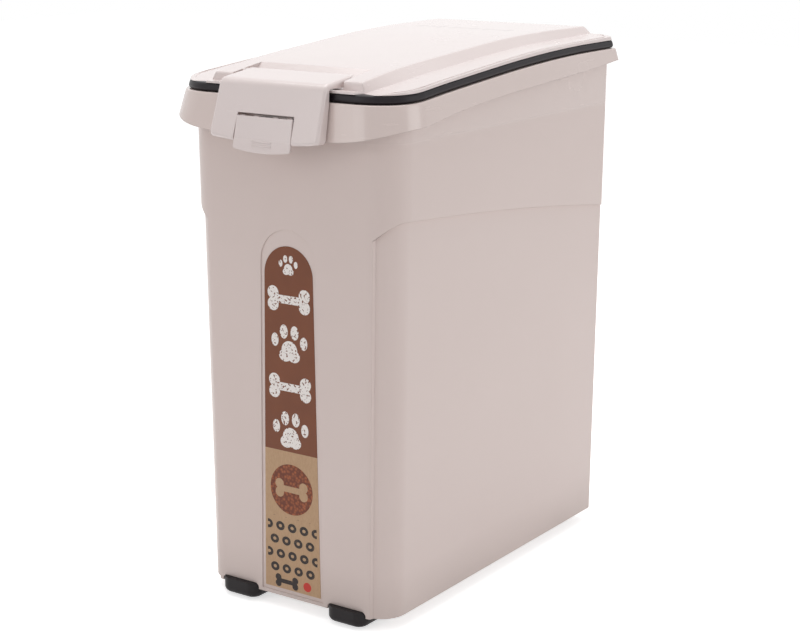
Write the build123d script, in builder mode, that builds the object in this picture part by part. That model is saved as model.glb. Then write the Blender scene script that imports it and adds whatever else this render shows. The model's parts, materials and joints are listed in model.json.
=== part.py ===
from build123d import *
import os
from math import pi, radians, sin, tan

os.makedirs("parts", exist_ok=True)

# Frame: +Z up, front towards -Y, origin on the ground under the middle of the whole container.
# Depths are measured back from the bin's front face, heights up from the bottom edge of its wall.
# Pairs are (depth, height) in the side view, and all sizes are in mm.

# Bin
front_y = -206.0
ground_clearance = 13.5
wall = 3.0
bin_depth = 424.0
bin_half_width = 124.1
side_draft = 0.0128
front_corner_radius = 32.0
rear_corner_radius = 6.0
least_radius = 1.0
panel_step = 3.6
panel_start_inset = 25.3
panel_wall_slant = 2.0
panel_front_height = 411.6
panel_middle_depth = 200.0
panel_middle_drop = 14.1
panel_rear_drop = 41.6
panel_corner_radius = 24.0

# Collar round the mouth of the bin; drops are measured down from its top face
rim_front_height = 527.3
rim_rise = 21.7
rim_level_depth = 384.0
rim_swell = 1.2
rim_edge_radius = 1.5
collar_overhang = 11.9
collar_front_overhang = 14.6
collar_rear_overhang = 13.3
collar_front_radius = 52.0
collar_rear_radius = 10.0
collar_flare = 12.0
skirt_front_drop = 37.3
skirt_flat_half_width = 60.0
skirt_corner_depth = 33.0
skirt_corner_drop = 21.8
skirt_side_drops = ((163.0, 19.7), (311.0, 19.9))
skirt_rear_drop = 13.5

# Label and its recess
label_bottom_height = 8.0
label_bottom_half_width = 36.3
label_top_half_width = 30.6
label_shoulder_height = 346.6
label_thickness = 0.4
recess_depth = 1.2
recess_margin = 4.0
recess_head_room = 12.8

# Wheel units under the four corners
wheel_side_inset = 54.3
wheel_radius = 14.5
wheel_width = 30.0
wheel_edge_radius = 3.0
wheel_gap = 1.5
wheel_dish_radius = 10.0
wheel_dish_depth = 1.5
wheel_hub_radius = 5.0
axle_radius = 2.5
axle_inset = 1.0
housing_wall = 5.0
housing_side_wall = 7.5
housing_roof = 3.0
housing_bulge = 6.0
housing_bottom_gap = 2.5
housing_corner_radius = 12.0
housing_edge_radius = 6.0
housing_clearance = 0.3
notch_height = 6.5
notch_corner_radius = 5.0

# Lid and its seal, in layers above the collar's top face
gasket_lift = 0.3
gasket_height = 8.6
gasket_edge_radius = 3.0
flange_thickness = 2.4
foot_step = 3.0
crown_step = 9.3
lid_inset = 1.8
lid_wall = 2.4
lip_gap = 1.5
lip_wall = 2.2
lip_drop = 10.0
foot_inset = 37.8
foot_narrowing = 9.9
crown_front_inset = 14.7
crown_rear_inset = 8.0
nose_depth = 90.0
flange_nose = 0.8
foot_nose = 5.3
crown_nose = 5.0
crown_edge_radius = 3.0
crown_cut = 0.7
crown_front_lean = 8.0
crown_rear_inset_top = 2.0
crown_rear_inset_foot = 0.5
crown_rear_drop = 8.5

# Bay in the lid for the latch
bay_side_room = 3.6
bay_floor_thickness = 2.7
bay_rear_lean = 54.0

# Lid hinge
running_fit = 0.05
hinge_offset = 9.7
hinge_drop = 7.0
hinge_radius = 5.5
hinge_pin_radius = 2.0
hinge_center = 70.0
hinge_knuckle_width = 20.0
hinge_ear_width = 6.2
hinge_side_gap = 0.3
hinge_arm_lift = 0.5
hinge_arm_thickness = 2.6

# Latch
latch_top_half_width = 65.5
latch_spread = 2.0
latch_wall = 2.2
latch_brow_radius = 10.0
latch_corner_radius = 6.0
latch_belly = 3.8
latch_edge_radius = 4.0
latch_boss_radius = 3.0
latch_boss_width = 4.5
latch_pin_radius = 1.8
latch_pin_reach = 2.1
latch_side_gap = 0.5

# Release tab in the latch
tab_top_half_width = 34.3
tab_spread = 1.2
tab_gap = 0.7
tab_head_gap = 2.6
tab_wall = 2.2
tab_corner_rise = 3.0
tab_corner_radius = 2.5
tab_edge_radius = 0.8
tab_pin_radius = 1.2
tab_knuckle_radius = 2.4
tab_knuckle_width = 6.0
tab_knuckle_centers = (12.0, 29.0)
tab_lug_width = 3.0
tab_lug_gap = 1.0
spring_radius = 2.1
spring_half_length = 6.0
catch_half_width = 20.0
catch_height = 12.0
catch_nose_height = 3.0
grip_radius = 0.7
grip_half_length = 12.0
grip_rises = (7.2, 11.2)

# Sizes that follow from the ones above
slope = tan(radians(collar_flare))
panel_start_half_width = bin_half_width - panel_start_inset
rim_rear_height = rim_front_height + rim_rise
collar_half_width = bin_half_width + side_draft * rim_front_height + collar_overhang
collar_front = -collar_front_overhang
collar_rear_depth = bin_depth + collar_rear_overhang
skirt_front_height = rim_front_height - skirt_front_drop
skirt_corner = (collar_half_width + skirt_corner_drop * slope, rim_front_height - skirt_corner_drop)
wheel_center = bin_half_width - wheel_side_inset
wheel_setback = housing_wall + wheel_gap + wheel_radius
housing_width = wheel_width + 2 * (wheel_gap + housing_side_wall)
housing_depth = 2 * wheel_setback
housing_height = 2 * wheel_radius - ground_clearance + wheel_gap + housing_roof
axle_length = housing_width - 2 * axle_inset
gasket_top = gasket_lift + gasket_height
flange_rise = gasket_top + flange_thickness
foot_rise = flange_rise + foot_step
crown_rise = foot_rise + crown_step
crown_top_height = rim_rear_height + crown_rise - crown_cut
foot_half_width = collar_half_width - foot_inset
bay_half_width = latch_top_half_width + bay_side_room
bay_height = rim_front_height + gasket_top + bay_floor_thickness
hinge_axis = (collar_rear_depth + hinge_offset, rim_rear_height - hinge_drop)
hinge_arm_height = rim_rear_height + flange_rise + hinge_arm_lift
latch_bottom_half_width = latch_top_half_width + latch_spread
latch_pin_length = latch_boss_width + bay_side_room + lid_wall + latch_pin_reach
tab_bottom_half_width = tab_top_half_width + tab_spread
far = bin_depth + collar_half_width
top = crown_top_height + collar_half_width


def from_brim(back, up):
    """Place in the side view, given from the top edge of the collar's front."""
    return (collar_front + back, rim_front_height + up)


# Places of the latch, its tab and the slopes beside it
crown_front_foot = from_brim(17.1, 10.9)
bay_rear_foot = (from_brim(45.6, 0)[0], bay_height)
latch_rear = from_brim(41.1, 22.8)
latch_brow = from_brim(-5.8, 17.1)
latch_toe = from_brim(-24.0, -39.8)
latch_skirt = [
    from_brim(*place) for place in ((-9.9, -38.8), (-1.9, -1.3), (-0.9, 10.8), (1.1, 12.6), (31.6, 13.2))
]
latch_pivot = from_brim(36.6, 19.0)
tab_head = from_brim(-18.4, -16.9)
tab_tip = from_brim(-26.0, -51.5)
tab_axis = from_brim(-14.4, -18.7)
catch_nose = from_brim(-8.8, -37.8)
tab_corner_height = tab_tip[1] + tab_corner_rise
tab_slot_height = tab_head[1] + tab_head_gap

side_plane = Plane(origin=(0, front_y, ground_clearance), x_dir=(0, 1, 0), z_dir=(1, 0, 0))


def level(height):
    """Level plane at a height, its origin above the middle of the bin's front edge."""
    return Plane(origin=(0, front_y, ground_clearance + height), x_dir=(1, 0, 0), z_dir=(0, 0, 1))


def upright(depth):
    """Upright plane seen from the front, at a depth."""
    return Plane(origin=(0, front_y + depth, ground_clearance), x_dir=(1, 0, 0), z_dir=(0, -1, 0))


def rim_height(depth):
    """Height of the collar's top face: level at the front, a swell, level at the rear."""
    share = min(max(depth / rim_level_depth, 0.0), 1.0)
    return rim_front_height + (rim_rear_height - rim_front_height) * sin(share * pi / 2) ** rim_swell


def round_corners(front_radius, rear_radius):
    """Round the open part's standing edges, front and rear."""
    fillet(edges().filter_by(Axis.Z, tolerance=45).group_by(Axis.Y)[0], max(front_radius, least_radius))
    fillet(edges().filter_by(Axis.Z, tolerance=45).group_by(Axis.Y)[-1], max(rear_radius, least_radius))


def rim_edges():
    """Edges between the open part's upright faces and what lies above and below them."""
    uprights = faces().filter_by(lambda face: abs(face.normal_at().Z) < 0.5)
    return uprights.edges().filter_by(Axis.Z, tolerance=45, reverse=True)


def bin_block(side_inset, front_inset, rear_inset, low, high):
    """Solid shape of the bin between two heights, with its faces moved in."""
    low_half = bin_half_width + side_draft * low - side_inset
    high_half = bin_half_width + side_draft * high - side_inset
    with BuildPart() as block:
        with BuildSketch(upright(bin_depth - rear_inset)):
            with BuildLine():
                Polyline(
                    (-low_half, low), (low_half, low), (high_half, high), (-high_half, high), close=True
                )
            make_face()
        extrude(amount=bin_depth - rear_inset - front_inset)
        round_corners(front_corner_radius - side_inset, rear_corner_radius - side_inset)
    return block.part


def collar_block(inset):
    """Flared solid that fills the collar's outer face, moved in by an inset."""
    low = skirt_front_height - wall
    grow = (rim_front_height - low) * slope - inset
    with BuildPart() as block:
        with BuildSketch(level(low)):
            with Locations((0, (collar_front + collar_rear_depth) / 2)):
                Rectangle(
                    2 * (collar_half_width + grow), collar_rear_depth - collar_front + 2 * grow
                )
        extrude(amount=crown_top_height + wall - low, taper=collar_flare)
        round_corners(collar_front_radius - inset, collar_rear_radius - inset)
    return block.part


def below_rim(rise):
    """Everything under the collar's top face, raised by an amount."""
    steps = 6
    curve = [rim_level_depth * i / steps for i in range(steps + 1)]
    points = [(depth, rim_height(depth) + rise) for depth in curve]
    with BuildPart() as region:
        with BuildSketch(side_plane):
            with BuildLine():
                Line((-far, points[0][1]), points[0])
                Spline(*points, tangents=((1, 0), (1, 0)))
                Polyline(
                    points[-1], (2 * far, points[-1][1]), (2 * far, -far), (-far, -far), (-far, points[0][1])
                )
            make_face()
        extrude(amount=far, both=True)
    return region.part


def side_prism(points, half_width):
    """Polygon of the side view made solid, the same amount to both sides."""
    with BuildPart() as prism:
        with BuildSketch(side_plane):
            with BuildLine():
                Polyline(*points, close=True)
            make_face()
        extrude(amount=half_width, both=True)
    return prism.part


def twin_prism(points, near, width):
    """Polygon of the side view made solid as a left and a right slab."""
    with BuildPart() as prism:
        with BuildSketch(side_plane.offset(near)):
            with BuildLine():
                Polyline(*points, close=True)
            make_face()
        extrude(amount=width)
        mirror(about=Plane.YZ)
    return prism.part


def twin_rod(radius, spot, near, width):
    """Round bars along X, one to the left and one to the right."""
    with BuildPart() as rods:
        with BuildSketch(side_plane.offset(near)):
            with Locations(spot):
                Circle(radius)
        extrude(amount=width)
        mirror(about=Plane.YZ)
    return rods.part


def rod(radius, spot, start, length):
    """Round bar along X from a start."""
    with BuildPart() as bar:
        with BuildSketch(side_plane.offset(start)):
            with Locations(spot):
                Circle(radius)
        extrude(amount=length)
    return bar.part


def panel_region(rise):
    """Everything under the step line of the bin's sides, raised by an amount."""
    start = (0.0, panel_front_height - panel_corner_radius + rise)
    crest = (panel_corner_radius, panel_front_height + rise)
    middle = (panel_middle_depth, panel_front_height - panel_middle_drop + rise)
    end = (bin_depth, panel_front_height - panel_rear_drop + rise)
    with BuildPart() as region:
        with BuildSketch(side_plane):
            with BuildLine():
                Line((-far, start[1]), start)
                TangentArc(start, crest, tangent=(0, 1))
                ThreePointArc(crest, middle, end)
                Polyline(end, (far, end[1]), (far, -far), (-far, -far), (-far, start[1]))
            make_face()
        extrude(amount=far, both=True)
    return region.part


def label_block(margin, head_room, depth, thickness):
    """Tall strip with a round top, from a depth forwards, wider by a margin all round."""
    bottom = label_bottom_height - margin
    shoulder = label_shoulder_height + head_room
    low = label_bottom_half_width + margin
    high = label_top_half_width + margin
    with BuildPart() as strip:
        with BuildSketch(upright(depth)):
            with BuildLine():
                Polyline((-high, shoulder), (-low, bottom), (low, bottom), (high, shoulder))
                ThreePointArc((high, shoulder), (0, shoulder + high), (-high, shoulder))
            make_face()
        extrude(amount=thickness)
    return strip.part


def notch_block(clearance, depth, length, low):
    """Shape of the opening for a wheel unit in the wall, at the middle of the front."""
    half = housing_width / 2 + housing_clearance - clearance
    height = notch_height - clearance
    with BuildPart() as block:
        with BuildSketch(upright(depth)):
            with BuildLine():
                Polyline((-half, low), (half, low), (half, height), (-half, height), close=True)
            make_face()
            fillet(vertices().group_by(Axis.Y)[-1], notch_corner_radius - clearance)
        extrude(amount=length)
    return block.part


# Middles of the four wheel units, and the plane that mirrors the front ones to the rear

wheel_places = (("left", -wheel_center), ("right", wheel_center))
middle_plane = Plane(origin=(0, front_y + bin_depth / 2, 0), x_dir=(1, 0, 0), z_dir=(0, 1, 0))


# Bin: solid blocks that its faces are cut from

outer_body = bin_block(0, 0, 0, 0, top)
cavity_low = bin_block(wall + panel_step, wall + panel_step, wall, wall, top)
cavity_high = bin_block(wall, wall, wall, wall, top)

with BuildPart() as panel_face_guard:
    for height in (-wall, top):
        half = panel_start_half_width + side_draft * height
        with BuildSketch(level(height)):
            with BuildLine():
                Polyline(
                    (-half, -wall), (half, -wall), (half, 0),
                    (half + panel_wall_slant, panel_step + wall), (half + panel_wall_slant, far),
                    (-half - panel_wall_slant, far), (-half - panel_wall_slant, panel_step + wall),
                    (-half, 0), close=True,
                )
            make_face()
    loft(ruled=True)

with BuildPart() as side_recess:
    add(outer_body)
    add(bin_block(panel_step, panel_step, -far, -wall, top + wall), mode=Mode.SUBTRACT)
    add(panel_region(0), mode=Mode.INTERSECT)
    add(panel_face_guard.part, mode=Mode.SUBTRACT)

with BuildPart() as cavity:
    add(cavity_high)
    add(panel_region(wall), mode=Mode.SUBTRACT)
    add(cavity_low)
    with BuildSketch(level(wall)):
        with Locations((0, wall)):
            Rectangle(
                2 * (panel_start_half_width - wall), 2 * panel_corner_radius,
                align=(Align.CENTER, Align.MIN),
            )
    extrude(amount=top - wall)

# Bin: collar

with BuildPart() as skirt_cut:
    with BuildSketch(upright(skirt_corner_depth)):
        with BuildLine():
            Line((-skirt_flat_half_width, skirt_front_height), (skirt_flat_half_width, skirt_front_height))
            TangentArc((skirt_flat_half_width, skirt_front_height), skirt_corner, tangent=(1, 0))
            Polyline(
                skirt_corner, (far, skirt_corner[1]), (far, 0), (-far, 0), (-far, skirt_corner[1]),
                (-skirt_corner[0], skirt_corner[1]),
            )
            TangentArc(
                (-skirt_flat_half_width, skirt_front_height), (-skirt_corner[0], skirt_corner[1]),
                tangent=(-1, 0),
            )
        make_face()
    extrude(amount=far)
    with BuildSketch(side_plane):
        start = (skirt_corner_depth, skirt_corner[1])
        end = (bin_depth, rim_rear_height - skirt_rear_drop)
        middle = [(depth, rim_height(depth) - drop) for depth, drop in skirt_side_drops]
        with BuildLine():
            Spline(start, *middle, end)
            Polyline(end, (2 * far, end[1]), (2 * far, 0), (start[0], 0), start)
        make_face()
    extrude(amount=far, both=True)

with BuildPart() as collar_hollow:
    add(collar_block(wall))
    add(below_rim(-wall), mode=Mode.INTERSECT)

with BuildPart() as collar:
    add(collar_block(0))
    add(below_rim(0), mode=Mode.INTERSECT)
    fillet(rim_edges(), rim_edge_radius)
    add(outer_body, mode=Mode.SUBTRACT)
    add(collar_hollow.part, mode=Mode.SUBTRACT)
    add(skirt_cut.part, mode=Mode.SUBTRACT)

# Bin: wells for the wheel units, one shape at the middle of the front

well_half = housing_width / 2 + housing_clearance
well_depth = housing_depth + housing_clearance

with BuildPart() as well:
    with BuildSketch(level(0)):
        with Locations((0, wall / 2)):
            Rectangle(
                2 * (well_half + wall), well_depth + wall / 2, align=(Align.CENTER, Align.MIN)
            )
    extrude(amount=housing_height + wall)

with BuildPart() as well_opening:
    with BuildSketch(level(-wall)):
        with Locations((0, wall)):
            Rectangle(2 * well_half, well_depth - wall, align=(Align.CENTER, Align.MIN))
    extrude(amount=housing_height + wall)
    add(notch_block(0, 2 * wall, 3 * wall, -wall))

with BuildPart() as wells:
    with Locations(*[(x, 0, 0) for side, x in wheel_places]):
        add(well.part)
    mirror(about=middle_plane)

with BuildPart() as well_openings:
    with Locations(*[(x, 0, 0) for side, x in wheel_places]):
        add(well_opening.part)
    mirror(about=middle_plane)

# Bin: ears of the lid hinge

ear_near = hinge_center - hinge_knuckle_width / 2 - hinge_side_gap - hinge_ear_width
ear_far = hinge_center + hinge_knuckle_width / 2 + hinge_side_gap
skirt_rear = collar_rear_depth + (rim_front_height - hinge_axis[1]) * slope - wall / 2
ear_web = (
    (skirt_rear, hinge_axis[1] - hinge_radius - wall / 2),
    (skirt_rear, hinge_axis[1] + hinge_radius - wall / 2),
    (hinge_axis[0], hinge_axis[1] + hinge_radius),
    (hinge_axis[0], hinge_axis[1] - hinge_radius),
)
pin_start = ear_near
pin_length = ear_far + hinge_ear_width - ear_near

with BuildPart() as storage_bin:
    add(outer_body)
    add(below_rim(0), mode=Mode.INTERSECT)
    add(collar.part)
    add(cavity.part, mode=Mode.SUBTRACT)
    add(wells.part)
    add(well_openings.part, mode=Mode.SUBTRACT)
    add(side_recess.part, mode=Mode.SUBTRACT)
    add(label_block(recess_margin, recess_head_room, recess_depth, far), mode=Mode.SUBTRACT)
    for near in (ear_near, ear_far):
        add(twin_prism(ear_web, near, hinge_ear_width))
        add(twin_rod(hinge_radius, hinge_axis, near, hinge_ear_width))
    add(twin_rod(hinge_pin_radius, hinge_axis, pin_start, pin_length), mode=Mode.SUBTRACT)

storage_bin.part.label = "bin"
export_step(storage_bin.part, "parts/bin.step")

# Label on the floor of its recess

with BuildPart() as label:
    add(label_block(0, 0, recess_depth, label_thickness))

label.part.label = "label"
export_step(label.part, "parts/label.step")

# Lid hinge pins, left and right

for side, start in (("left", -pin_start - pin_length), ("right", pin_start)):
    with BuildPart() as hinge_pin:
        add(rod(hinge_pin_radius, hinge_axis, start, pin_length))
    hinge_pin.part.label = f"lid_hinge_pin_{side}"
    export_step(hinge_pin.part, f"parts/lid_hinge_pin_{side}.step")

# Wheel units: the shapes at the middle of the front, then the four copies of each

axle_spot = (wheel_setback, wheel_radius - ground_clearance)
housing_low = housing_bottom_gap - ground_clearance

with BuildPart() as housing_shape:
    with BuildSketch(level(housing_low)):
        with Locations((0, -housing_bulge)):
            Rectangle(housing_width, housing_bulge + housing_depth, align=(Align.CENTER, Align.MIN))
        fillet(vertices().group_by(Axis.Y)[0], housing_corner_radius)
    extrude(amount=housing_height - housing_low)
    fillet(faces().sort_by(Axis.Z)[0].edges(), housing_edge_radius)

with BuildPart() as housing_nose:
    add(notch_block(housing_clearance, wall + housing_clearance, far, housing_low - wall))

with BuildPart() as housing_rear:
    with BuildSketch(level(housing_low - wall)):
        with Locations((0, wall + housing_clearance)):
            Rectangle(housing_width, far, align=(Align.CENTER, Align.MIN))
    extrude(amount=far)

with BuildPart() as housing_limits:
    add(housing_nose.part)
    add(housing_rear.part)

with BuildPart() as wheel_space:
    with BuildSketch(level(housing_low)):
        with Locations((0, wheel_setback)):
            Rectangle(wheel_width + 2 * wheel_gap, 2 * (wheel_radius + wheel_gap))
    extrude(amount=axle_spot[1] + wheel_radius + wheel_gap - housing_low)

with BuildPart() as housing:
    add(housing_shape.part)
    add(housing_limits.part, mode=Mode.INTERSECT)
    add(wheel_space.part, mode=Mode.SUBTRACT)
    add(rod(axle_radius, axle_spot, -housing_width, 2 * housing_width), mode=Mode.SUBTRACT)

with BuildPart() as wheel:
    add(rod(wheel_radius, axle_spot, -wheel_width / 2, wheel_width))
    fillet(edges().filter_by(GeomType.CIRCLE), wheel_edge_radius)
    for start in (-wheel_width / 2, wheel_width / 2 - wheel_dish_depth):
        add(rod(wheel_dish_radius, axle_spot, start, wheel_dish_depth), mode=Mode.SUBTRACT)
    add(rod(wheel_hub_radius, axle_spot, -wheel_width / 2, wheel_width))
    add(rod(axle_radius + running_fit, axle_spot, -wheel_width, 2 * wheel_width), mode=Mode.SUBTRACT)

with BuildPart() as axle:
    add(rod(axle_radius, axle_spot, -axle_length / 2, axle_length))

for kind, shape in (("wheel_housing", housing.part), ("wheel", wheel.part), ("axle", axle.part)):
    for end in ("front", "rear"):
        for side, x in wheel_places:
            with BuildPart() as unit_piece:
                with Locations((x, 0, 0)):
                    add(shape)
                if end == "rear":
                    mirror(about=middle_plane, mode=Mode.REPLACE)
            unit_piece.part.label = f"{kind}_{end}_{side}"
            export_step(unit_piece.part, f"parts/{kind}_{end}_{side}.step")

# Seal: a ring between lid and collar

with BuildPart() as lid_gasket:
    add(collar_block(lid_inset))
    add(below_rim(gasket_top), mode=Mode.INTERSECT)
    add(below_rim(gasket_lift), mode=Mode.SUBTRACT)
    fillet(rim_edges(), gasket_edge_radius)
    add(bin_block(wall, wall, wall, 0, top), mode=Mode.SUBTRACT)

lid_gasket.part.label = "lid_gasket"
export_step(lid_gasket.part, "parts/lid_gasket.step")


# Lid: its top surface, lofted through cross sections

def crown_section(depth, drop):
    """Cross section of the lid's top in the open sketch, lowered by an amount."""
    nose = max(1.0 - depth / nose_depth, 0.0) ** 2
    rim = rim_height(depth) - drop
    edge_x = collar_half_width - lid_inset
    edge = rim + flange_rise - flange_nose * nose
    foot_x = foot_half_width - foot_narrowing * nose
    foot = rim + foot_rise - foot_nose * nose
    crown_inset = crown_front_inset + (crown_rear_inset - crown_front_inset) * depth / bin_depth
    crown_x = foot_half_width - crown_inset
    crown = rim + crown_rise - crown_nose * nose
    outer_x = collar_half_width + collar_front_radius
    outer = edge - (outer_x - edge_x) * (foot - edge) / (edge_x - foot_x)
    with BuildLine() as outline:
        Polyline(
            (-outer_x, 0), (outer_x, 0), (outer_x, outer), (foot_x, foot), (crown_x, crown),
            (-crown_x, crown), (-foot_x, foot), (-outer_x, outer), close=True,
        )
    make_face(outline.edges())


def crown_block(drop):
    """Solid under the lid's top surface, lowered by an amount."""
    front = 2 * collar_front
    last = collar_rear_depth - 1.5 * collar_front
    stations = (front, 0.2 * nose_depth, 0.6 * nose_depth, nose_depth, 0.5 * rim_level_depth,
                0.8 * rim_level_depth, rim_level_depth, last)
    with BuildPart() as block:
        for depth in stations:
            with BuildSketch(upright(depth)):
                crown_section(depth, drop)
        loft()
    return block.part


def crown_limits(inset):
    """Everything under the lid's level top and its front and rear slopes, moved in."""
    front_depth, front_height = crown_front_foot
    high = crown_top_height - inset
    back = (crown_top_height - front_height) * tan(radians(crown_front_lean))
    rear_top = bin_depth - crown_rear_inset_top - inset
    rear_foot = (bin_depth - crown_rear_inset_foot - inset, high - crown_rear_drop)
    return side_prism(
        (
            (-far, -far), (-far, front_height), (front_depth + inset, front_height),
            (front_depth + back + inset, high), (rear_top, high), rear_foot,
            (2 * far, rear_foot[1]), (2 * far, -far),
        ),
        far,
    )


def bay(grow):
    """Space in the lid's front for the latch, grown by an amount."""
    depth, height = bay_rear_foot
    back = (top - height) * tan(radians(bay_rear_lean))
    return side_prism(
        (
            (-far, height - grow), (depth + grow, height - grow),
            (depth + back + grow, top), (-far, top),
        ),
        bay_half_width + grow,
    )


inner_inset = wall + lip_gap + lip_wall

with BuildPart() as lid_hollow:
    add(crown_block(lid_wall))
    add(bin_block(inner_inset, inner_inset, inner_inset, 0, top), mode=Mode.INTERSECT)
    add(crown_limits(lid_wall), mode=Mode.INTERSECT)
    add(bay(lid_wall), mode=Mode.SUBTRACT)

with BuildPart() as lid_cap:
    add(crown_block(0))
    add(collar_block(lid_inset), mode=Mode.INTERSECT)
    add(below_rim(gasket_top), mode=Mode.SUBTRACT)
    add(crown_limits(0), mode=Mode.INTERSECT)
    level_faces = faces().filter_by(lambda face: face.normal_at().Z > 0.9)
    middle_faces = level_faces.filter_by(lambda face: abs(face.center().X) < foot_half_width / 2)
    fillet(set(middle_faces.sort_by(SortBy.AREA)[-2:].edges()), crown_edge_radius)

with BuildPart() as lid_lip:
    add(bin_block(wall + lip_gap, wall + lip_gap, wall + lip_gap, 0, top))
    add(below_rim(gasket_top), mode=Mode.INTERSECT)
    add(below_rim(-lip_drop), mode=Mode.SUBTRACT)

knuckle_near = hinge_center - hinge_knuckle_width / 2
arm_low = hinge_arm_height - hinge_arm_thickness
hinge_arm = (
    (collar_rear_depth - 4 * wall, arm_low),
    (hinge_axis[0] - 2 * hinge_radius, arm_low),
    (hinge_axis[0] - hinge_radius, hinge_axis[1] + hinge_radius),
    (hinge_axis[0] - hinge_radius, hinge_axis[1]),
    (hinge_axis[0] + hinge_radius, hinge_axis[1]),
    (hinge_axis[0] + hinge_radius, hinge_axis[1] + 2 * hinge_radius),
    (hinge_axis[0] - hinge_radius / 2, hinge_arm_height),
    (collar_rear_depth - 4 * wall, hinge_arm_height),
)
lug_near = latch_top_half_width + latch_side_gap
lug_web = (
    (latch_pivot[0] - latch_boss_radius, bay_height - lid_wall / 2),
    (latch_pivot[0] + latch_boss_radius, bay_height - lid_wall / 2),
    (latch_pivot[0] + latch_boss_radius, latch_pivot[1]),
    (latch_pivot[0] - latch_boss_radius, latch_pivot[1]),
)
lug_width = bay_half_width - lug_near + lid_wall / 2
latch_pin_start = latch_top_half_width - latch_boss_width

with BuildPart() as lid:
    add(lid_cap.part)
    add(lid_lip.part)
    add(bay(0), mode=Mode.SUBTRACT)
    add(lid_hollow.part, mode=Mode.SUBTRACT)
    add(twin_prism(lug_web, lug_near, lug_width))
    add(twin_rod(latch_boss_radius, latch_pivot, lug_near, lug_width))
    add(twin_prism(hinge_arm, knuckle_near, hinge_knuckle_width))
    add(twin_rod(hinge_radius, hinge_axis, knuckle_near, hinge_knuckle_width))
    add(
        twin_rod(hinge_pin_radius + running_fit, hinge_axis, ear_near, pin_length),
        mode=Mode.SUBTRACT,
    )
    add(twin_rod(latch_pin_radius, latch_pivot, latch_pin_start, latch_pin_length), mode=Mode.SUBTRACT)

lid.part.label = "lid"
export_step(lid.part, "parts/lid.step")

# Latch pivot pins, left and right

for side, start in (("left", -latch_pin_start - latch_pin_length), ("right", latch_pin_start)):
    with BuildPart() as latch_pin:
        add(rod(latch_pin_radius, latch_pivot, start, latch_pin_length))
    latch_pin.part.label = f"latch_pin_{side}"
    export_step(latch_pin.part, f"parts/latch_pin_{side}.step")


# Latch: a folded plate with side walls

def latch_skin(inset):
    """Everything behind the latch's outer faces, moved in by an inset."""
    (y1, z1), (y2, z2), (y3, z3) = latch_rear, latch_brow, latch_toe
    rear = (y1 + far, z1 + far * (z1 - z2) / (y1 - y2))
    low = (y3 - far * (y2 - y3) / (z2 - z3), z3 - far)
    with BuildPart() as skin:
        with BuildSketch(side_plane):
            with BuildLine():
                Polyline(latch_brow, rear, (rear[0], low[1]), low, close=True)
            make_face()
            fillet(vertices().sort_by_distance(latch_brow)[0], latch_brow_radius)
            offset(amount=-inset)
        extrude(amount=far, both=True)
    return skin.part


def latch_half_width(height):
    """Half the latch's width at a height; its sides spread slightly downwards."""
    drop = (latch_rear[1] - height) / (latch_rear[1] - latch_toe[1])
    return latch_top_half_width + (latch_bottom_half_width - latch_top_half_width) * drop


def outer_edges():
    """Edges round the open part's front and top faces, without those along X."""
    outside = faces().filter_by(lambda face: face.normal_at().Y < -0.5 or face.normal_at().Z > 0.5)
    return outside.edges().filter_by(Axis.X, reverse=True)


with BuildPart() as latch_shell:
    add(latch_skin(0))
    with BuildSketch(upright(latch_rear[0])):
        low_corner = (latch_half_width(latch_toe[1]), latch_toe[1])
        with BuildLine():
            Polyline(
                (-low_corner[0], low_corner[1]), (-latch_half_width(top), top),
                (latch_half_width(top), top), low_corner,
            )
            ThreePointArc(low_corner, (0, latch_toe[1] - latch_belly), (-low_corner[0], low_corner[1]))
        make_face()
        fillet(vertices().group_by(Axis.Y)[0], latch_corner_radius)
    extrude(amount=far, mode=Mode.INTERSECT)
    fillet(outer_edges(), latch_edge_radius)

with BuildPart() as latch_hollow:
    add(latch_skin(latch_wall))
    with BuildSketch(upright(far)):
        low_half = latch_half_width(0) - latch_wall
        high_half = latch_half_width(top) - latch_wall
        with BuildLine():
            Polyline((-low_half, 0), (low_half, 0), (high_half, top), (-high_half, top), close=True)
        make_face()
    extrude(amount=2 * far, mode=Mode.INTERSECT)
    fillet(outer_edges(), latch_edge_radius - latch_wall)

latch_side_outline = (
    (latch_rear[0], top),
    (-far, top),
    (-far, latch_toe[1] - latch_belly),
    (latch_toe[0], latch_toe[1] - latch_belly),
    *latch_skirt,
    (latch_rear[0], latch_rear[1] - latch_wall),
)

with BuildPart() as tab_slot:
    with BuildSketch(upright(tab_axis[0] + tab_knuckle_radius)):
        with BuildLine():
            Polyline(
                (-tab_top_half_width - tab_gap, tab_slot_height),
                (-tab_bottom_half_width - tab_gap, tab_corner_height),
                (-tab_bottom_half_width - tab_gap, 0),
                (tab_bottom_half_width + tab_gap, 0),
                (tab_bottom_half_width + tab_gap, tab_corner_height),
                (tab_top_half_width + tab_gap, tab_slot_height),
                close=True,
            )
        make_face()
    extrude(amount=far)

tab_lug_near = tab_top_half_width + tab_lug_gap
tab_lug_reach = tab_lug_near + tab_lug_width

with BuildPart() as latch_plate:
    add(latch_shell.part)
    add(side_prism(latch_side_outline, far), mode=Mode.INTERSECT)
    add(latch_hollow.part, mode=Mode.SUBTRACT)
    add(twin_rod(latch_boss_radius, latch_pivot, latch_pin_start, latch_boss_width))
    add(tab_slot.part, mode=Mode.SUBTRACT)
    add(twin_rod(tab_knuckle_radius, tab_axis, tab_lug_near, tab_lug_width))
    add(
        twin_rod(latch_pin_radius + running_fit, latch_pivot, 0, latch_bottom_half_width + wall),
        mode=Mode.SUBTRACT,
    )
    add(
        twin_rod(tab_pin_radius, tab_axis, 0, tab_lug_reach),
        mode=Mode.SUBTRACT,
    )

latch_plate.part.label = "latch_plate"
export_step(latch_plate.part, "parts/latch_plate.step")

# Release tab, its pin and its spring

with BuildPart() as tab_pin:
    add(rod(tab_pin_radius, tab_axis, -tab_lug_reach, 2 * tab_lug_reach))

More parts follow.
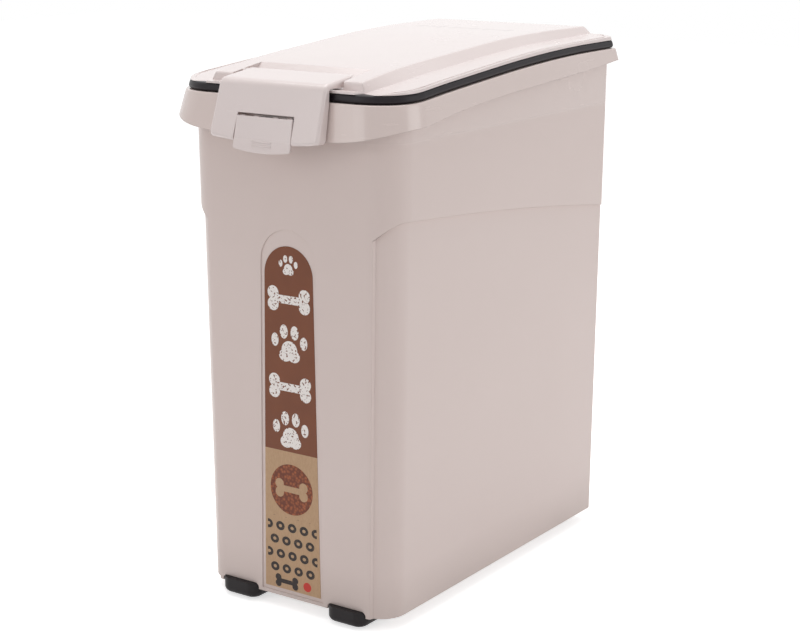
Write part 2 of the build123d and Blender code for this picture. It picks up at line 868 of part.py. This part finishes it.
tab_pin.part.label = "tab_pin"
export_step(tab_pin.part, "parts/tab_pin.step")

with BuildPart() as tab_spring:
    add(rod(spring_radius, tab_axis, -spring_half_length, 2 * spring_half_length))
    add(rod(tab_pin_radius, tab_axis, -far, 2 * far), mode=Mode.SUBTRACT)

tab_spring.part.label = "tab_spring"
export_step(tab_spring.part, "parts/tab_spring.step")

tab_lean = (tab_head[0] - tab_tip[0]) / (tab_head[1] - tab_tip[1])
tab_section = (
    tab_head, tab_tip, (tab_tip[0] + tab_wall, tab_tip[1]), (tab_head[0] + tab_wall, tab_head[1])
)
catch_root = tab_head[0] + tab_wall / 2 - tab_lean * (tab_head[1] - catch_nose[1])
catch_section = (
    (catch_root + tab_lean * catch_height, catch_nose[1] + catch_height / 2),
    (catch_root - tab_lean * catch_height, catch_nose[1] - catch_height),
    (catch_nose[0], catch_nose[1] - catch_nose_height),
    catch_nose,
)

with BuildPart() as release_tab:
    add(side_prism(tab_section, far))
    with BuildSketch(upright(far)):
        with BuildLine():
            Polyline(
                (-tab_bottom_half_width, tab_corner_height), (-tab_top_half_width, tab_head[1]),
                (tab_top_half_width, tab_head[1]), (tab_bottom_half_width, tab_corner_height),
            )
            ThreePointArc(
                (tab_bottom_half_width, tab_corner_height), (0, tab_tip[1]),
                (-tab_bottom_half_width, tab_corner_height),
            )
        make_face()
        fillet(vertices().group_by(Axis.Y)[0], tab_corner_radius)
    extrude(amount=2 * far, mode=Mode.INTERSECT)
    fillet(faces().sort_by(Axis.Y)[0].edges(), tab_edge_radius)
    for center in tab_knuckle_centers:
        add(
            twin_rod(tab_knuckle_radius, tab_axis, center - tab_knuckle_width / 2, tab_knuckle_width)
        )
    add(side_prism(catch_section, catch_half_width))
    for rise in grip_rises:
        spot = (tab_tip[0] + tab_lean * rise, tab_tip[1] + rise)
        add(rod(grip_radius, spot, -grip_half_length, 2 * grip_half_length))
    add(rod(tab_pin_radius + running_fit, tab_axis, -far, 2 * far), mode=Mode.SUBTRACT)

release_tab.part.label = "release_tab"
export_step(release_tab.part, "parts/release_tab.step")
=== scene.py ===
# %% [markdown]
# # A wheeled storage container for dry pet food
# The shapes come from a CAD frame that is already packed, one object for each moulded part.
# This lesson gives them their looks: satin and glossy plastic, a rubber seal, black wheels
# and a printed label.
# We load the frame first. The looks must not grow past it.

# %% Load the frame
import json
from math import cos, pi, radians, sin

import bmesh
import bpy
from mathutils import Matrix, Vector
from mathutils.bvhtree import BVHTree


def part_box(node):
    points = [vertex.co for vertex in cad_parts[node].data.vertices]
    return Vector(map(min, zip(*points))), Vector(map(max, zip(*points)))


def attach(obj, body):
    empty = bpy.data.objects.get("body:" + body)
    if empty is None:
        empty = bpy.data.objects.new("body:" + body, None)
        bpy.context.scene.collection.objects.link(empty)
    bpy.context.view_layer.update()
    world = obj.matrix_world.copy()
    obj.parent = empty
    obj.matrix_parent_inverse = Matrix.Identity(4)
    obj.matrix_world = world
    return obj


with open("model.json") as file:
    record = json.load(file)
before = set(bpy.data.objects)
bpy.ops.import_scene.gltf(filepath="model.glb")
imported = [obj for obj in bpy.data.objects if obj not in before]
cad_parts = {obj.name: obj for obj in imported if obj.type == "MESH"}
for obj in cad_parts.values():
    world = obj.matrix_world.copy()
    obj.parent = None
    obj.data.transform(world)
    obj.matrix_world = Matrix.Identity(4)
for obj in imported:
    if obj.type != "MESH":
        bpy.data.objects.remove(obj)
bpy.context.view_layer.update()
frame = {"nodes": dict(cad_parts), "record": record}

print("parts in the frame:", len(frame["nodes"]))

# %% [markdown]
# ## Writing shader maths as sums
# A material is a graph of nodes. Wiring Math nodes by hand hides what they compute,
# so one small class wraps an output socket and turns +, -, *, /, % and comparisons into Math nodes.
# Everything else comes from one method that takes a node's type, its settings and its sockets.

# %% A value in a graph, and the graph that makes it
class Value:
    """One output socket of a graph, usable in Python sums."""

    def __init__(self, graph, socket):
        self.graph = graph
        self.socket = socket

    def math(self, operation, *inputs):
        return self.graph.node("ShaderNodeMath", {"operation": operation}, dict(enumerate(inputs)))

    def __add__(self, other):
        return self.math("ADD", self, other)

    __radd__ = __add__

    def __sub__(self, other):
        return self.math("SUBTRACT", self, other)

    def __rsub__(self, other):
        return self.math("SUBTRACT", other, self)

    def __mul__(self, other):
        return self.math("MULTIPLY", self, other)

    __rmul__ = __mul__

    def __truediv__(self, other):
        return self.math("DIVIDE", self, other)

    def __mod__(self, other):
        return self.math("FLOORED_MODULO", self, other)

    def __abs__(self):
        return self.math("ABSOLUTE", self)

    def __lt__(self, other):
        return self.math("LESS_THAN", self, other)

    def __gt__(self, other):
        return self.math("GREATER_THAN", self, other)

    def clamp(self):
        return self.math("MINIMUM", self.math("MAXIMUM", self, 0.0), 1.0)

    def either(self, other):
        return self.math("MAXIMUM", self, other)


class Graph:
    """The nodes of a material or of the world."""

    def __init__(self, owner):
        owner.use_nodes = True
        self.tree = owner.node_tree
        self.tree.nodes.clear()

    def node(self, kind, settings=None, sockets=None, output=0):
        """Add a node of a type with its settings, then its socket values or links."""
        made = self.tree.nodes.new(kind)
        for name, setting in (settings or {}).items():
            setattr(made, name, setting)
        for key, value in (sockets or {}).items():
            if isinstance(value, Value):
                self.tree.links.new(value.socket, made.inputs[key])
            else:
                made.inputs[key].default_value = value
        return None if output is None else Value(self, made.outputs[output])

    def backdrop_share(self):
        """1 for rays that show the backdrop: straight, mirrored or through glass."""
        rays = self.node("ShaderNodeLightPath").socket.node.outputs
        kinds = ("Is Camera Ray", "Is Glossy Ray", "Is Transmission Ray")
        straight, mirrored, through = [Value(self, rays[kind]) for kind in kinds]
        return straight.either(mirrored).either(through)


class Finish(Graph):
    """A material: a Principled surface and the nodes that feed it."""

    def __init__(self, name, **constants):
        self.material = bpy.data.materials.new(name)
        super().__init__(self.material)
        output = self.tree.nodes.new("ShaderNodeOutputMaterial")
        self.surface = self.tree.nodes.new("ShaderNodeBsdfPrincipled")
        self.tree.links.new(self.surface.outputs[0], output.inputs[0])
        for socket, number in constants.items():
            self.surface.inputs[socket.replace("_", " ")].default_value = number

    def place(self):
        """Position on the object, in metres."""
        return self.node("ShaderNodeTexCoord", output="Object")

    def axes(self):
        """The three coordinates of the position, apart."""
        apart = self.node("ShaderNodeSeparateXYZ", sockets={0: self.place()})
        outputs = apart.socket.node.outputs
        return [Value(self, outputs[i]) for i in range(3)]

    def noise(self, scale, detail=3.0, stretch=(1, 1, 1)):
        """Cloudy values from 0 to 1, with features about 1 / scale metres across."""
        spread = self.node(
            "ShaderNodeVectorMath", {"operation": "MULTIPLY"}, {0: self.place(), 1: stretch}
        )
        return self.node(
            "ShaderNodeTexNoise", sockets={"Vector": spread, "Scale": scale, "Detail": detail}
        )

    def blend(self, share, first, second):
        """Colour between two colours, by a share from 0 to 1."""
        return self.node(
            "ShaderNodeMix", {"data_type": "RGBA"}, {0: share, 6: first, 7: second}, output=2
        )

    def feed(self, socket, value):
        self.tree.links.new(value.socket, self.surface.inputs[socket])

    def relief(self, height, edge_radius=0.0006):
        """Use heights in metres as small bumps, on edges that look slightly rounded."""
        rounded = self.node("ShaderNodeBevel", {"samples": 4}, {"Radius": edge_radius})
        self.feed("Normal", self.node(
            "ShaderNodeBump", sockets={"Distance": 1.0, "Height": height, "Normal": rounded}
        ))


def srgb(red, green, blue):
    """Screen colour from 0 to 255 as the linear colour that shaders use."""
    channels = [c / 255 for c in (red, green, blue)]
    linear = [c / 12.92 if c <= 0.04045 else ((c + 0.055) / 1.055) ** 2.4 for c in channels]
    return (*linear, 1.0)


print("shader helpers ready")

# %% [markdown]
# ## Paws and bones
# The label and the lid carry plain motifs. Each one is a mask: the distance from a point or a line,
# compared with a radius, so it stays sharp at any size and needs no picture.
# The numbers inside a motif are shares of its size.

# %% Masks of the motifs
def ellipse(x, z, middle, radii):
    """Mask of an ellipse round a middle."""
    u = (x - middle[0]) / radii[0]
    v = (z - middle[1]) / radii[1]
    return (u * u + v * v) < 1.0


def paw(x, z, size):
    """A pad and four toes, about as wide as its size."""
    side = abs(x)
    inner = ellipse(side, z, (0.15 * size, 0.27 * size), (0.11 * size, 0.16 * size))
    outer = ellipse(side, z, (0.40 * size, 0.06 * size), (0.10 * size, 0.15 * size))
    heel = ellipse(side, z, (0.12 * size, -0.27 * size), (0.17 * size, 0.14 * size))
    pad = ellipse(x, z, (0.0, -0.15 * size), (0.22 * size, 0.22 * size))
    return pad.either(heel).either(inner).either(outer)


def bone(x, z, size):
    """A bar with two knobs at each end, about as long as its size."""
    bar = (abs(x) < 0.38 * size) * (abs(z) < 0.08 * size)
    knob = (0.13 * size, 0.13 * size)
    return bar.either(ellipse(abs(x), abs(z), (0.37 * size, 0.11 * size), knob))


print("motifs: paw, bone")

# %% [markdown]
# ## Moulded plastic
# The bin is injection moulded: its steel mould leaves a very fine even grain, wide panels are
# never quite flat, and handling leaves faint long rubs. Three noises at three scales give that:
# grain under a millimetre, waves a hand wide, and stretched rubs that change only the gloss.
# What lies above the collar's foot comes from a polished part of the mould, so it shines more.
# A little grey gathers near the ground, where dust and the floor touch it.
# The lid's plastic also has a row of small bones in low relief, on the level part of its top, and
# their colour is greyed a little as painted shade of that relief.

# %% Plastic finishes
emblem_y = 0.120
emblem_pitch = 0.044
emblem_size = 0.036
emblem_count = 3
emblem_relief = 0.0006
# How strongly the bones are greyed, and the grey: painted shade of their low relief
emblem_painted_shade = 0.4
emblem_painted_grey = srgb(190, 178, 176)
collar_low = 0.498
polish_fade = 0.005
dust_top = 0.06
dust_grey = srgb(150, 142, 132)
grain_height = 0.00003


def emblem(x, y):
    """Mask of a row of bones, moulded into the top of the lid."""
    row_half = emblem_count / 2 * emblem_pitch
    column = (x + row_half) % emblem_pitch - emblem_pitch / 2
    row = (abs(x) < row_half) * (abs(y - emblem_y) < emblem_size / 2)
    return bone(column, y - emblem_y, emblem_size) * row


def moulded_plastic(name, colour, shade, roughness, grain, wave, coat, marked=False):
    """Plastic with mould grain, soft panel waves, faint rubs and a little dust low down."""
    finish = Finish(name, IOR=1.49, Coat_Roughness=0.12)
    cloud = finish.noise(6.0, 4.0)
    speckle = finish.noise(700.0, 2.0)
    rubs = finish.noise(22.0, 5.0, (1.0, 1.0, 9.0))
    marks = ((rubs - 0.62) * 4.0).clamp()
    x, y, z = finish.axes()
    polish = ((z - collar_low) / polish_fade).clamp()
    dust = ((dust_top - z) * 14.0).clamp() * cloud
    tint = (cloud * 0.7 + speckle * 0.3).clamp()
    plain = finish.blend(tint, shade, colour)
    height = finish.noise(grain, 2.0) * grain_height + finish.noise(9.0, 1.0) * wave
    if marked:
        bones = emblem(x, y)
        height = height + bones * emblem_relief
        # Painted shade: the bones' colour is greyed as if their low relief were shaded
        plain = finish.blend(bones * emblem_painted_shade, plain, emblem_painted_grey)
    finish.feed("Base Color", finish.blend(dust * 0.5, plain, dust_grey))
    rough = roughness + (cloud - 0.5) * 0.08 + marks * 0.03 + dust * 0.25
    finish.feed("Roughness", rough - polish * 0.10)
    finish.feed("Coat Weight", (coat - marks * 0.04 - dust * 0.2 + polish * 0.35).clamp())
    finish.relief(height, 0.0009)
    return finish.material


bin_plastic = moulded_plastic(
    "bin_plastic", srgb(219, 203, 198), srgb(213, 196, 190), 0.36, 1500.0, 0.0006, 0.2
)
lid_plastic = moulded_plastic(
    "lid_plastic", srgb(226, 214, 212), srgb(221, 207, 204), 0.36, 1800.0, 0.0004, 0.1, marked=True
)
print("plastic finishes:", bin_plastic.name, lid_plastic.name)

# %% [markdown]
# ## Black plastic, rubber and steel
# Seal and wheels are both near black, but the light tells them apart.
# Rubber has a soft wide sheen and a slight bloom, hard plastic a tighter one with mould grain,
# and a rolled wheel is scratched round its tread. The steel pins carry fine drawing lines along X.

# %% Dark finishes and steel
def dark_finish(name, colour, worn, roughness, scale, stretch, depth):
    """Near black surface with a lighter worn tone in its texture."""
    finish = Finish(name, IOR=1.45, Specular_IOR_Level=0.3)
    cloud = finish.noise(30.0, 4.0)
    streaks = finish.noise(scale, 4.0, stretch)
    wear = ((streaks - 0.55) * 4.0).clamp()
    finish.feed("Base Color", finish.blend((wear * 0.6 + cloud * 0.3).clamp(), colour, worn))
    finish.feed("Roughness", roughness + (cloud - 0.5) * 0.15 + wear * 0.12)
    finish.relief(streaks * depth + finish.noise(1600.0, 2.0) * grain_height)
    return finish.material


seal_rubber = dark_finish(
    "seal_rubber", srgb(25, 19, 23), srgb(38, 31, 36), 0.38, 240.0, (1.0, 1.0, 3.0), 0.00004
)
housing_plastic = dark_finish(
    "housing_plastic", srgb(21, 16, 18), srgb(32, 26, 28), 0.45, 420.0, (1.0, 1.0, 1.0), 0.00005
)
wheel_plastic = dark_finish(
    "wheel_plastic", srgb(20, 16, 17), srgb(38, 33, 33), 0.58, 380.0, (6.0, 1.0, 1.0), 0.00008
)

steel = Finish("pin_steel", Metallic=1.0, IOR=2.5)
drawn = steel.noise(900.0, 3.0, (0.08, 1.0, 1.0))
steel.feed("Base Color", steel.blend(drawn, srgb(150, 150, 152), srgb(196, 196, 198)))
steel.feed("Roughness", 0.22 + drawn * 0.2)
steel.relief(drawn * grain_height, 0.0002)
pin_steel = steel.material
print("dark finishes and steel ready")

# %% [markdown]
# ## The label
# The label is a printed film in two zones, brown above and kraft paper tone below.
# Its plain design has paws and bones in white on the brown, and on the kraft a food bowl
# with a bone, rings of kibble in dark brown, a long bone and one red ball.
# The white ink is a little worn. All places are measured from the label's own box.

# %% Label sizes
label_low, label_high = [corner_point[2] for corner_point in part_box("label")]
label_half_low, label_half_high = 0.0363, 0.0306
label_shoulder = label_high - label_half_high
split = label_low + 0.153
brown_cell = 0.046
brown_rows = 4
paw_size, bone_size, small_paw_size = 0.046, 0.054, 0.024
small_paw_z = label_shoulder + 0.011
bowl_z = split - 0.041
bowl_radius = 0.0275
bowl_bone_size = 0.042
ring_cell = 0.0155
ring_outer, ring_hole = (0.0056, 0.0050), (0.0021, 0.0018)
ring_margin = 0.003
ring_top = bowl_z - bowl_radius - 0.004
foot_row_z = label_low + 0.0085
foot_row_top = label_low + 0.0155
foot_bone_x, foot_bone_size = -0.008, 0.030
ball_x, ball_radius = 0.019, 0.0052
print("label from", round(label_low, 4), "to", round(label_high, 4))

# %% Label finish
film = Finish("label_film", IOR=1.45, Coat_Roughness=0.15, Specular_IOR_Level=0.35)
x, y, z = film.axes()
slant = (label_half_low - label_half_high) / (label_shoulder - label_low)
inside = label_half_low - (z - label_low) * slant - abs(x)
upper = z > split

row = (z - split) % brown_cell - brown_cell / 2
odd = ((z - split) / (2 * brown_cell) % 1.0) > 0.5
big = paw(x, row, paw_size) * (1.0 - odd) + bone(x, row, bone_size) * odd
big = big * upper * (z < split + brown_rows * brown_cell)
small = paw(x, z - small_paw_z, small_paw_size)
ink_wear = film.noise(420.0, 3.0) > 0.40
print_white = (big.either(small) * ink_wear).clamp()

ring_z = (z - label_low) % ring_cell - ring_cell / 2
shift = (((z - label_low) / (2 * ring_cell) % 1.0) > 0.5) * (ring_cell / 2)
ring_x = (x + shift + 9.5 * ring_cell) % ring_cell - ring_cell / 2
ring = ellipse(ring_x, ring_z, (0.0, 0.0), ring_outer)
ring = ring * (1.0 - ellipse(ring_x, ring_z, (0.0, 0.0), ring_hole))
ring_room = (inside > ring_margin) * (z < ring_top) * (z > foot_row_top)
long_bone = bone(x - foot_bone_x, z - foot_row_z, foot_bone_size)
print_dark = (ring * ring_room).either(long_bone) * (1.0 - upper)

kibble = film.node("ShaderNodeTexVoronoi", sockets={"Vector": film.place(), "Scale": 300.0})
bowl = ellipse(x, z, (0.0, bowl_z), (bowl_radius, bowl_radius))
bowl_print = bowl * (1.0 - bone(x, z - bowl_z, bowl_bone_size))
ball = ellipse(x, z, (ball_x, foot_row_z), (ball_radius, ball_radius))

weave = film.noise(900.0, 3.0, (1.0, 1.0, 0.25))
hatch = ((x + z) * 900.0 % 1.0) > 0.5
brown = film.blend(film.noise(35.0, 4.0), srgb(108, 58, 33), srgb(126, 70, 40))
kraft = film.blend((weave * 0.7 + hatch * 0.2).clamp(), srgb(168, 132, 98), srgb(203, 171, 138))
ground = film.blend(upper, kraft, brown)
ground = film.blend(print_dark * (0.88 + 0.12 * ink_wear), ground, srgb(30, 17, 12))
crumbs = film.blend((kibble * 1.6).clamp(), srgb(178, 98, 56), srgb(104, 48, 24))
ground = film.blend(bowl_print, ground, crumbs)
ground = film.blend(ball, ground, srgb(196, 54, 44))
film.feed("Base Color", film.blend(print_white, ground, srgb(240, 234, 230)))
film.feed("Roughness", 0.34 + weave * 0.14 + print_white * 0.05)
film.feed("Coat Weight", (0.12 - weave * 0.06).clamp())
film.relief(weave * 0.00002 + film.noise(60.0, 1.0) * 0.0001, 0.0002)
label_film = film.material
print("label nodes:", len(film.tree.nodes))

# %% [markdown]
# ## Giving each part its finish
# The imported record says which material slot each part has, so one loop covers every part,
# also those that are seen only when the lid is open or the bin lies on its side.

# %% Dress the parts
finishes = {
    "bin_plastic": bin_plastic,
    "lid_plastic": lid_plastic,
    "label_film": label_film,
    "seal_rubber": seal_rubber,
    "housing_plastic": housing_plastic,
    "wheel_plastic": wheel_plastic,
    "pin_steel": pin_steel,
}
for part in frame["record"]["subparts"]:
    node = frame["nodes"][part["node"]]
    node.data.materials.clear()
    node.data.materials.append(finishes[part["material_slot"]])

# %% [markdown]
# ## The bead on the lid
# Just inside the lid's edge runs a thin raised line, which stiffens the flange and hides its seam.
# It follows the curved flange, so we walk round the outline and drop a ray on the lid at each step
# to find the surface. The way goes from the front corner along the right side to the rear, and
# its mirror image leads back. Heights are then averaged with their neighbours, because the facets
# of the surface would make the line look jagged. A small round section is swept along the points,
# thinner and sunk at the ends, so that it runs out softly.

# %% Walk round the flange
lid_tree = BVHTree.FromObject(frame["nodes"]["lid"], bpy.context.evaluated_depsgraph_get())
seal_low, seal_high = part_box("lid_gasket")


def surface_height(x, y):
    """Height of the lid's top at a place, or None beside it."""
    hit = lid_tree.ray_cast(Vector((x, y, 1.0)), Vector((0, 0, -1)))[0]
    return hit.z if hit else None


def flange_edge(x, y, axis):
    """Place of the flange's edge along an axis, found by stepping in from outside."""
    place = [x, y]
    while surface_height(*place) is None and place[axis] > 0:
        place[axis] -= edge_step
    return place[axis]


edge_step = 0.0005
bead_inset = 0.0042
bead_radius = 0.0007
side_start = seal_low[1] + 0.050
side_end = seal_high[1] - 0.024
side_steps = 40
side_points = []
for i in range(side_steps + 1):
    y = side_start + (side_end - side_start) * i / side_steps
    side_points.append((flange_edge(seal_high[0] + 0.002, y, 0) - bead_inset, y))
print("flange half width from", round(side_points[0][0], 4), "to", round(side_points[-1][0], 4))


# %% Sweep the bead along the flange
def corner(center, start, end, radii, steps):
    """Points between the ends of an elliptic arc, angles in degrees."""
    angles = [radians(start + (end - start) * i / steps) for i in range(1, steps)]
    return [(center[0] + radii[0] * cos(a), center[1] + radii[1] * sin(a)) for a in angles]


def sweep(name, points, full_radius, taper_steps=4, sides=8):
    """Tube through points, thin and low at both closed ends."""
    mesh = bpy.data.meshes.new(name)
    tube = bmesh.new()
    rings = []
    last = len(points) - 1
    for i, point in enumerate(points):
        along = (points[min(i + 1, last)] - points[max(i - 1, 0)]).normalized()
        across = along.cross(Vector((0, 0, 1))).normalized()
        up = across.cross(along)
        radius = full_radius * min(1.0, (min(i, last - i) + 0.5) / taper_steps)
        middle = point - (full_radius - radius) * up
        angles = [2 * pi * k / sides for k in range(sides)]
        rings.append([
            tube.verts.new(middle + radius * (cos(a) * across + sin(a) * up)) for a in angles
        ])
    for first, second in zip(rings, rings[1:]):
        for k in range(sides):
            tube.faces.new((first[k], first[(k + 1) % sides], second[(k + 1) % sides], second[k]))
    tube.faces.new(rings[0][::-1])
    tube.faces.new(rings[-1])
    bmesh.ops.recalc_face_normals(tube, faces=tube.faces)
    for face in tube.faces:
        face.smooth = len(face.verts) == 4
    tube.to_mesh(mesh)
    tube.free()
    piece = bpy.data.objects.new(name, mesh)
    bpy.context.scene.collection.objects.link(piece)
    return piece


front_y = seal_low[1] + bead_inset + 0.003
front_radii = (0.046, side_start - front_y)
front_center = (side_points[0][0] - front_radii[0], side_start)
rear_y = flange_edge(0.0, seal_high[1] + 0.006, 1) - bead_inset
rear_half = side_points[-1][0]
rear_radii = (0.010, rear_y - side_end)
rear_steps = 8
smoothing_rounds = 3
plan = corner(front_center, -62, 0, front_radii, 14) + side_points
plan += corner((rear_half - rear_radii[0], side_end), 0, 90, rear_radii, 6)
plan += [(rear_half * (1 - k / rear_steps), rear_y) for k in range(2, rear_steps)]
half_path = [Vector((x, y, surface_height(x, y))) for x, y in plan if surface_height(x, y)]
path = half_path + [Vector((-p.x, p.y, p.z)) for p in reversed(half_path)]
for _ in range(smoothing_rounds):
    heights = [p.z for p in path]
    for i in range(1, len(path) - 1):
        path[i].z = (heights[i - 1] + heights[i] + heights[i + 1]) / 3
lid_bead = sweep("lid_bead", path, bead_radius)
lid_bead.data.materials.append(lid_plastic)
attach(lid_bead, "lid")
print("bead points:", len(path))

# %% [markdown]
# ## Floor, light and camera
# The product stands in a white studio with strong soft light from above and weaker light
# from the right and the front, so that its lid is almost white. The backdrop stays white
# for the camera through Light Path, which leaves the light on the object alone.
# The camera's place and lens were worked out from the photo's edges.

# %% Floor and backdrop
reach = 6
floor_corners = [(-reach, -reach, 0), (reach, -reach, 0), (reach, reach, 0), (-reach, reach, 0)]
floor_mesh = bpy.data.meshes.new("floor")
floor_mesh.from_pydata(floor_corners, [], [(0, 1, 2, 3)])
floor = bpy.data.objects.new("floor", floor_mesh)
bpy.context.scene.collection.objects.link(floor)

pale = Finish("floor_white", Base_Color=(0.9, 0.9, 0.9, 1.0), Emission_Strength=1.0)
pale.feed("Roughness", 0.85 + pale.noise(4.0, 2.0) * 0.1)
pale.feed("Emission Color", pale.blend(pale.backdrop_share(), (0, 0, 0, 1), (0.62, 0.62, 0.62, 1)))
floor_mesh.materials.append(pale.material)

world = bpy.data.worlds.new("studio")
bpy.context.scene.world = world
studio = Graph(world)
warm_white = (1.0, 0.985, 0.985, 1.0)
soft = studio.node("ShaderNodeBackground", sockets={"Color": warm_white, "Strength": 0.5})
white = studio.node("ShaderNodeBackground", sockets={"Color": (1, 1, 1, 1), "Strength": 1.0})
seen = studio.node("ShaderNodeMixShader", sockets={0: studio.backdrop_share(), 1: soft, 2: white})
studio.node("ShaderNodeOutputWorld", sockets={0: seen}, output=None)
print("floor and backdrop ready")


# %% Lamps
def soft_box(name, place, target, size, power):
    """Square area lamp that looks at a target."""
    lamp = bpy.data.lights.new(name, "AREA")
    lamp.size = size
    lamp.energy = power
    box = bpy.data.objects.new(name, lamp)
    bpy.context.scene.collection.objects.link(box)
    box.location = place
    box.rotation_euler = (Vector(target) - Vector(place)).to_track_quat("-Z", "Y").to_euler()


body_middle = (0, 0, 0.3)
soft_box("top_light", (-0.3, 0.2, 2.6), body_middle, 1.8, 33)
soft_box("right_light", (2.6, 0.6, 1.0), body_middle, 1.4, 11)
soft_box("front_light", (-1.0, -2.6, 1.3), body_middle, 1.4, 8.5)
print("lamps: top, right, front")

# %% Camera
view = bpy.data.cameras.new("camera")
view.sensor_width = 36.0
view.lens = 81.2
look_down, look_round = 13.934, 34.567
camera = bpy.data.objects.new("camera", view)
bpy.context.scene.collection.objects.link(camera)
camera.location = (1.0972, -1.5997, 0.7543)
camera.rotation_euler = (radians(90 - look_down), 0, radians(look_round))
bpy.context.scene.camera = camera
bpy.context.scene.view_settings.view_transform = "Standard"
print("camera at", tuple(round(c, 3) for c in camera.location))
